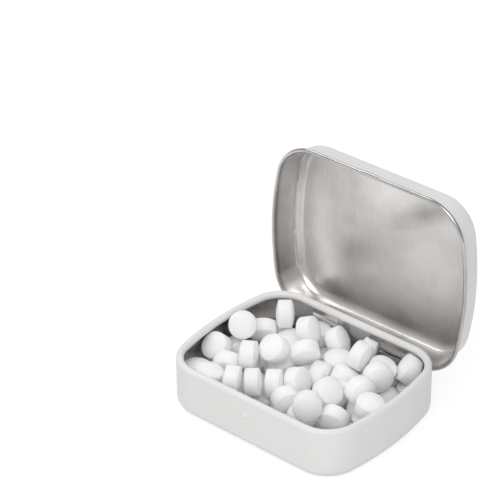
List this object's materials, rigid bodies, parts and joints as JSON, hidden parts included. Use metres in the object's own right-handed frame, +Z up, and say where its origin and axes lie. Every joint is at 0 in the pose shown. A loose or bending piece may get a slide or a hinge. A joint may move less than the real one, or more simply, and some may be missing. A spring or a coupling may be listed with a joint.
{
  "type": "hinged mint tin",
  "caption": "Small rounded rectangular tinplate box with a rolled rim, a lid that swings on two strap hinges and a heap of loose domed mints inside.",
  "frame": {"origin": "centre of the flat underside of the base", "axes": "+Z up, +Y from the front wall to the hinge wall, +X along the long side, to the right as seen from the front"},
  "size_m": [0.062, 0.057, 0.0563],
  "materials": {
    "white_coat": "satin white coating outside, bare tinplate inside",
    "mint": "matt pressed tablet"
  },
  "bodies": {
    "base": {"base_shell": "white_coat", "lower_mints": "mint", "mint_01": "mint", "mint_02": "mint", "mint_03": "mint", "mint_04": "mint", "mint_05": "mint", "mint_06": "mint", "mint_07": "mint", "mint_08": "mint", "mint_09": "mint", "mint_10": "mint", "mint_11": "mint", "mint_12": "mint", "mint_13": "mint", "mint_14": "mint", "mint_15": "mint", "mint_16": "mint", "mint_17": "mint", "mint_18": "mint", "mint_19": "mint", "mint_20": "mint", "mint_21": "mint", "mint_22": "mint", "mint_23": "mint", "mint_24": "mint", "mint_25": "mint", "mint_26": "mint", "mint_27": "mint", "mint_28": "mint", "mint_29": "mint", "mint_30": "mint", "mint_31": "mint", "mint_32": "mint", "mint_33": "mint", "mint_34": "mint", "mint_35": "mint", "mint_36": "mint", "mint_37": "mint", "mint_38": "mint", "mint_39": "mint", "mint_40": "mint", "mint_41": "mint", "mint_42": "mint", "mint_43": "mint"},
    "lid": {"lid_shell": "white_coat"}
  },
  "joints": [
    {"name": "lid_hinge", "type": "hinge", "parent": "base", "child": "lid", "pos_m": [0, 0.02263, 0.00897], "axis": [-1, 0, 0], "range_deg": [-92, 0]}
  ]
}
